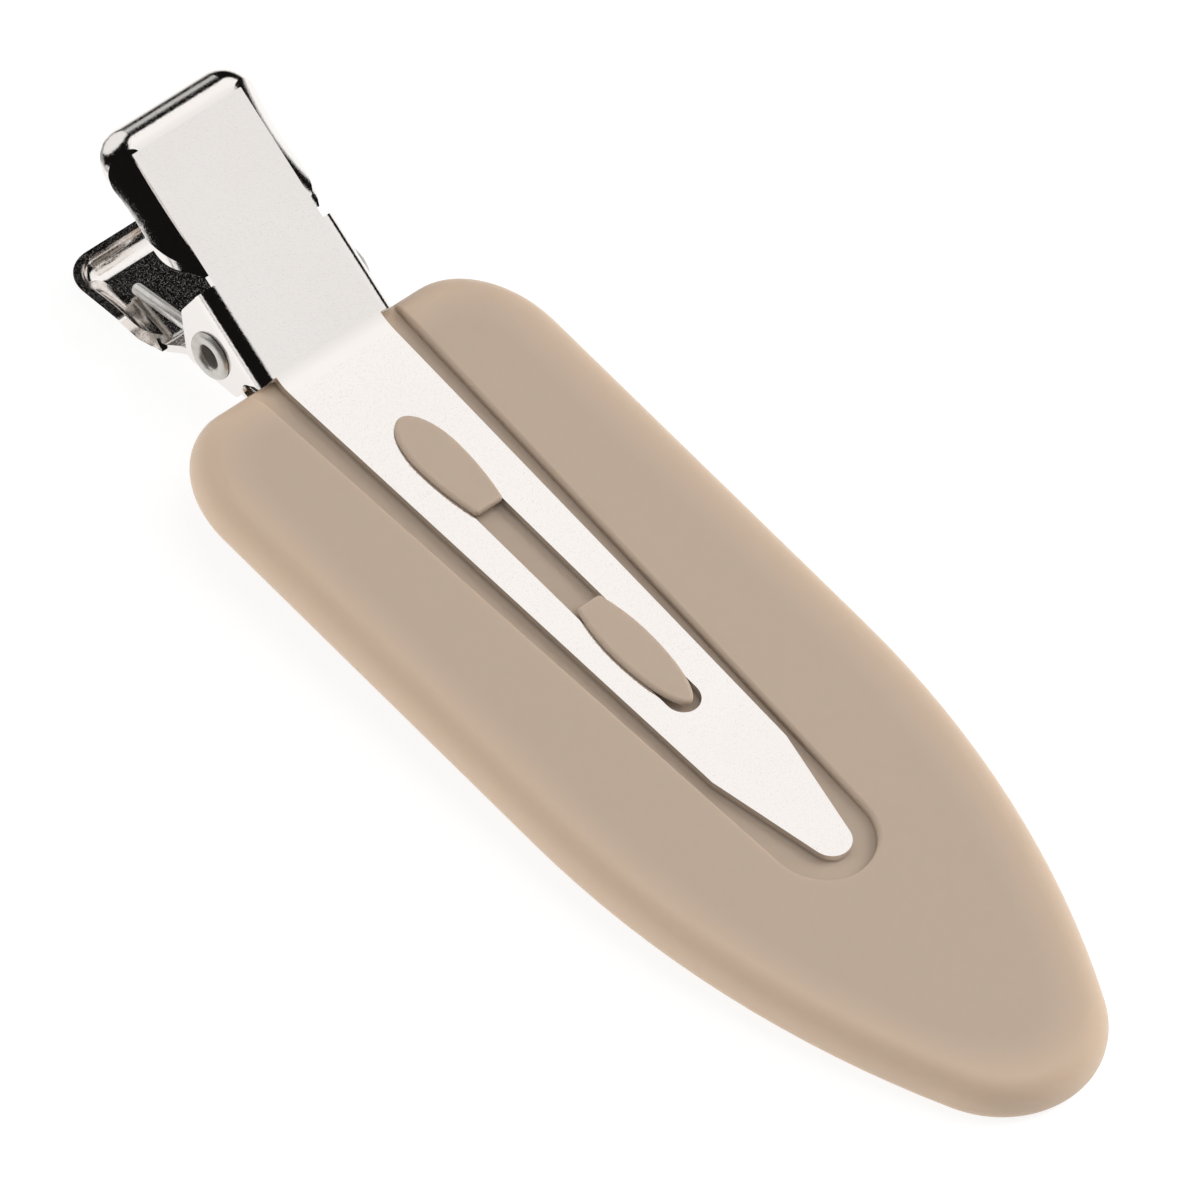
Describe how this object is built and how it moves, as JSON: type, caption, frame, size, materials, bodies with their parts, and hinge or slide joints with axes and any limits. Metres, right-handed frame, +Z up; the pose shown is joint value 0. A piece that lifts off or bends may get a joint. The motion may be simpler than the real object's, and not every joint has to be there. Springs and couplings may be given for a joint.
{
  "type": "hair clip",
  "caption": "Flat duckbill hair clip, closed: a wide pointed grip plate clinched to a slotted steel prong, with sprung thumb presses on a rivet hinge.",
  "frame": {"origin": "on the surface that the closed clip lies on, midway along its overall length and width", "axes": "+X from the thumb presses to the tip of the grip plate, +Y along the rivet to its flat head, +Z up"},
  "size_m": [0.0756, 0.024, 0.0131],
  "materials": {
    "steel_sheet": "nickel-plated steel sheet, bright",
    "moulded_plate": "translucent moulded plastic, taupe, semi-gloss",
    "steel_rivet": "plated steel, satin",
    "spring_wire": "drawn steel wire, plain"
  },
  "bodies": {
    "upper_half": {"upper_arm": "steel_sheet", "grip_plate": "moulded_plate", "hinge_pin": "steel_rivet", "torsion_spring": "spring_wire"},
    "lower_half": {"lower_arm": "steel_sheet"}
  },
  "joints": [
    {"name": "clip_hinge", "type": "hinge", "parent": "upper_half", "child": "lower_half", "pos_m": [-0.02609, 0, 0.00493], "axis": [0, 1, 0], "range_deg": [0, 50], "stiffness_Nm_per_rad": 0.043, "springref_deg": -14.32, "deforming": ["torsion_spring"]}
  ]
}
